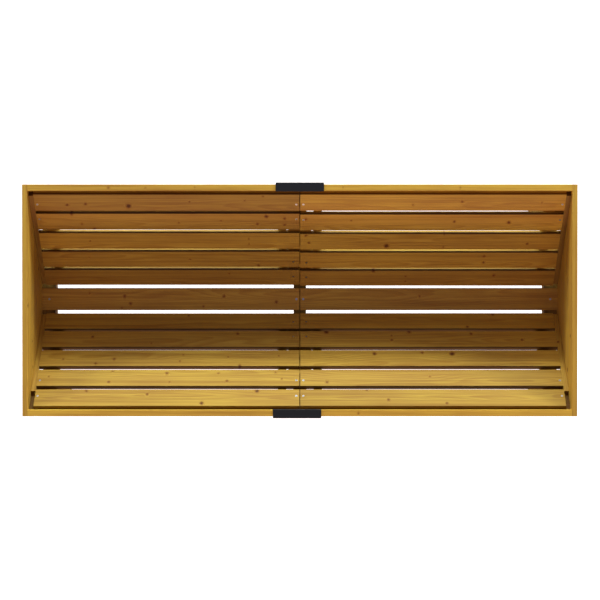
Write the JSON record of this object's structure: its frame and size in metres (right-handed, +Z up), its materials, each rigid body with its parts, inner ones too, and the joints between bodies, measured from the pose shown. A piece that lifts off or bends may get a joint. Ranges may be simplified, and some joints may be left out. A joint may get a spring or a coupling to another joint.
{
  "type": "raised trough planter",
  "caption": "V-shaped slatted wooden trough planter on tall legs, made as two halves joined over the middle legs, with black clips over the rim joint.",
  "frame": {"origin": "on the ground under the centre of the trough", "axes": "+X along the trough, +Y across it towards the back wall, +Z up"},
  "size_m": [1.8, 0.7646, 0.8033],
  "materials": {
    "wood": "amber-stained planed softwood",
    "black_plastic": "moulded satin black",
    "zinc": "bright zinc plated"
  },
  "bodies": {
    "planter": {"back_left_end_cleat": "wood", "back_left_leg": "wood", "back_left_rail": "wood", "back_left_slat_1": "wood", "back_left_slat_2": "wood", "back_left_slat_3": "wood", "back_left_slat_4": "wood", "back_left_slat_5": "wood", "back_middle_leg": "wood", "back_right_end_cleat": "wood", "back_right_leg": "wood", "back_right_rail": "wood", "back_right_slat_1": "wood", "back_right_slat_2": "wood", "back_right_slat_3": "wood", "back_right_slat_4": "wood", "back_right_slat_5": "wood", "back_tie_board": "wood", "batten_screws": "zinc", "board_screws": "zinc", "brace_screws": "zinc", "floor_board_left": "wood", "floor_board_right": "wood", "foot_caps": "black_plastic", "front_left_end_cleat": "wood", "front_left_leg": "wood", "front_left_rail": "wood", "front_left_slat_1": "wood", "front_left_slat_2": "wood", "front_left_slat_3": "wood", "front_left_slat_4": "wood", "front_left_slat_5": "wood", "front_middle_leg": "wood", "front_right_end_cleat": "wood", "front_right_leg": "wood", "front_right_rail": "wood", "front_right_slat_1": "wood", "front_right_slat_2": "wood", "front_right_slat_3": "wood", "front_right_slat_4": "wood", "front_right_slat_5": "wood", "front_tie_board": "wood", "inner_battens": "wood", "left_cross_brace": "wood", "left_end_board_1": "wood", "left_end_board_2": "wood", "left_end_board_3": "wood", "left_end_board_4": "wood", "left_end_board_5": "wood", "middle_cross_brace": "wood", "outer_battens": "wood", "rail_screws": "zinc", "right_cross_brace": "wood", "right_end_board_1": "wood", "right_end_board_2": "wood", "right_end_board_3": "wood", "right_end_board_4": "wood", "right_end_board_5": "wood"},
    "back_clip": {"back_rail_clip": "black_plastic"},
    "front_clip": {"front_rail_clip": "black_plastic"}
  },
  "joints": [
    {"name": "back_clip_lift", "type": "slide", "parent": "planter", "child": "back_clip", "axis": [0, 0, 1], "range_m": [0, 0.08]},
    {"name": "front_clip_lift", "type": "slide", "parent": "planter", "child": "front_clip", "axis": [0, 0, 1], "range_m": [0, 0.08]}
  ]
}
